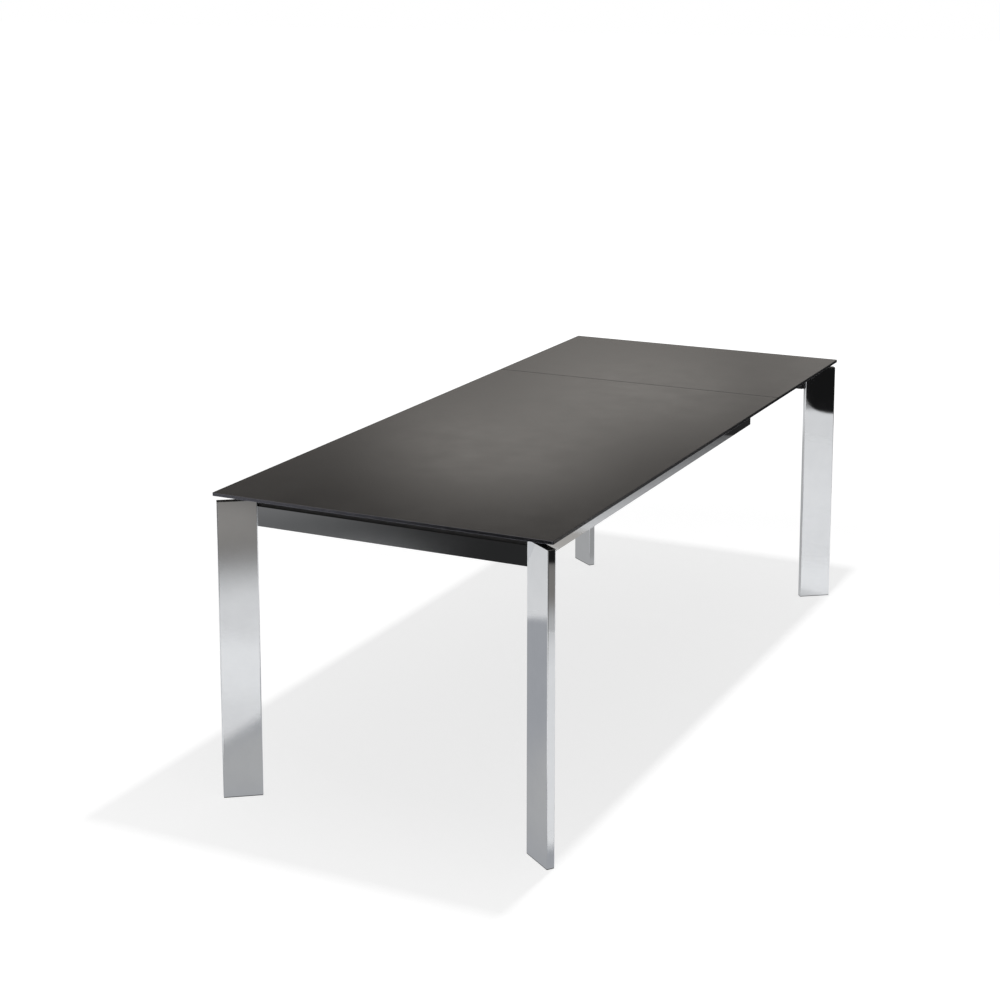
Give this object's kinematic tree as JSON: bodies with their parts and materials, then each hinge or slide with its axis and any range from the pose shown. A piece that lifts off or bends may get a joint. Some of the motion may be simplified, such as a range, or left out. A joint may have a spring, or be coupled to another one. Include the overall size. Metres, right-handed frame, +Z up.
{
  "type": "extendable dining table",
  "caption": "Long thin-topped dining table on flat corner legs; one end pulls out on runners to take a lift-off leaf.",
  "frame": {"origin": "on the floor under the middle of the extended top", "axes": "+X along the table towards the end frame that slides, +Y across it, +Z up"},
  "size_m": [2.1, 0.87, 0.75],
  "materials": {
    "top_panel": "satin anthracite compact laminate",
    "chrome": "bright chrome plate",
    "steel": "zinc-plated steel",
    "black_steel": "satin black coating",
    "aluminium": "satin anodised",
    "nylon": "natural nylon",
    "grey_plastic": "moulded grey plastic",
    "black_plastic": "moulded black plastic"
  },
  "bodies": {
    "main_frame": {"main_top": "top_panel", "near_leg_left": "chrome", "near_leg_right": "chrome", "near_glides": "grey_plastic", "near_end_rail": "chrome", "side_rail_left": "chrome", "side_rail_right": "chrome", "near_corner_left": "black_steel", "near_corner_right": "black_steel", "near_corner_bolts": "black_steel", "front_cross_member": "steel", "rear_cross_member": "steel", "cross_spacers": "black_plastic", "rail_spacers": "black_plastic", "top_screws": "steel", "near_bearer": "black_plastic", "mouth_guides": "nylon", "stop_blocks": "steel", "seam_tongues": "steel", "tongue_screws": "black_steel"},
    "end_frame": {"far_leg_left": "chrome", "far_leg_right": "chrome", "far_glides": "grey_plastic", "far_end_rail": "chrome", "far_corner_left": "black_steel", "far_corner_right": "black_steel", "far_corner_bolts": "black_steel", "runner_left": "aluminium", "runner_right": "aluminium", "tie_bar": "aluminium", "runner_shoes": "nylon", "leaf_pads": "black_plastic"},
    "leaf": {"leaf_panel": "top_panel", "stiffener_left": "aluminium", "stiffener_right": "aluminium", "stiffener_screws": "black_steel"}
  },
  "joints": [
    {"name": "end_frame_slide", "type": "slide", "parent": "main_frame", "child": "end_frame", "axis": [-1, 0, 0], "range_m": [0, 0.58]},
    {"name": "leaf_lift", "type": "slide", "parent": "main_frame", "child": "leaf", "axis": [0, 0, 1], "range_m": [0, 0.2]}
  ]
}
